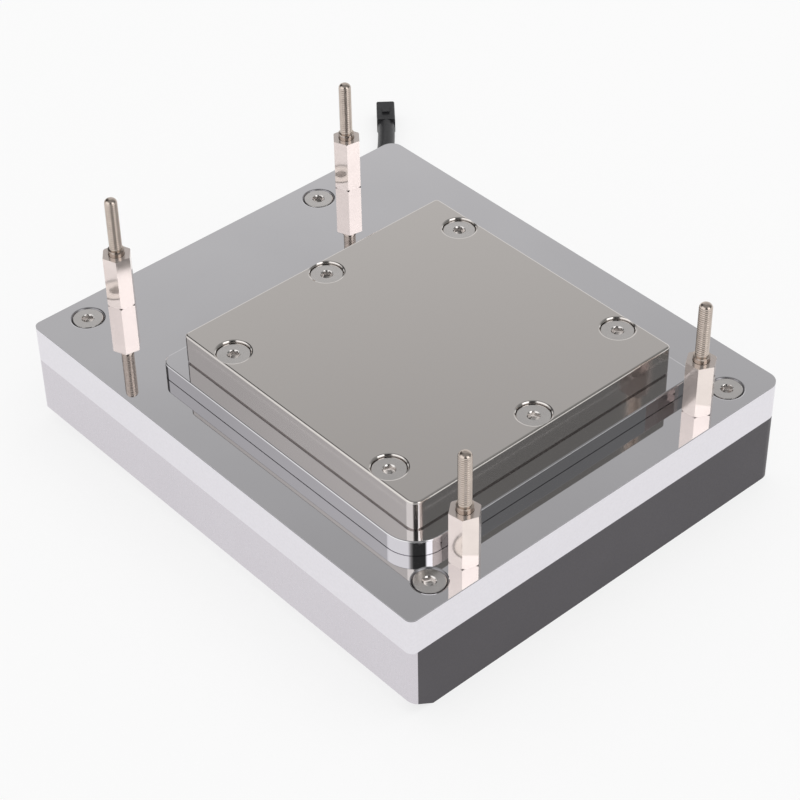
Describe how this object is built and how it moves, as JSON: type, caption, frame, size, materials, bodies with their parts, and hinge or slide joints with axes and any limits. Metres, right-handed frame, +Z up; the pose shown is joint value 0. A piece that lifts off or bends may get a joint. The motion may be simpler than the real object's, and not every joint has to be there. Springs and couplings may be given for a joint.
{
  "type": "liquid cooling cold plate",
  "caption": "Flat liquid cold plate for a server processor: polished mounting plate with a square nickel contact plate, hex standoffs with studs, and a housing with two coolant ports.",
  "frame": {"origin": "middle of the housing's underside, on the surface that the part stands on", "axes": "+X along the long side to the end with the dark cover, +Z up through the contact face"},
  "size_m": [0.1388, 0.1176, 0.0452],
  "materials": {
    "plate_polish": "mirror-polished nickel plate on aluminium, satin rim",
    "contact_nickel": "warm polished nickel plate on copper",
    "housing_satin": "fine satin",
    "cover_dark": "dark grey anodised, satin",
    "seal_rubber": "matt black",
    "divider_plastic": "natural moulded plastic",
    "screw_steel": "nickel-plated, smooth",
    "standoff_brass": "nickel-plated brass, bright",
    "stud_steel": "nickel-plated thread",
    "probe_steel": "drawn sleeve",
    "boot_rubber": "moulded black",
    "lead_jacket": "smooth black jacket",
    "plug_plastic": "moulded black"
  },
  "bodies": {
    "root": {"housing": "housing_satin", "end_cover": "cover_dark", "housing_seal": "seal_rubber", "mounting_plate": "plate_polish", "flow_divider": "divider_plastic", "contact_seal": "seal_rubber", "contact_plate": "contact_nickel", "sensor_probe": "probe_steel", "sensor_boot": "boot_rubber", "sensor_lead": "lead_jacket", "sensor_plug": "plug_plastic", "contact_screw_1": "screw_steel", "contact_screw_2": "screw_steel", "contact_screw_3": "screw_steel", "contact_screw_4": "screw_steel", "contact_screw_5": "screw_steel", "contact_screw_6": "screw_steel", "plate_screw_1": "screw_steel", "standoff_1": "standoff_brass", "stud_1": "stud_steel", "plate_screw_2": "screw_steel", "standoff_2": "standoff_brass", "stud_2": "stud_steel", "plate_screw_3": "screw_steel", "standoff_3": "standoff_brass", "stud_3": "stud_steel", "plate_screw_4": "screw_steel", "standoff_4": "standoff_brass", "stud_4": "stud_steel"}
  },
  "joints": []
}
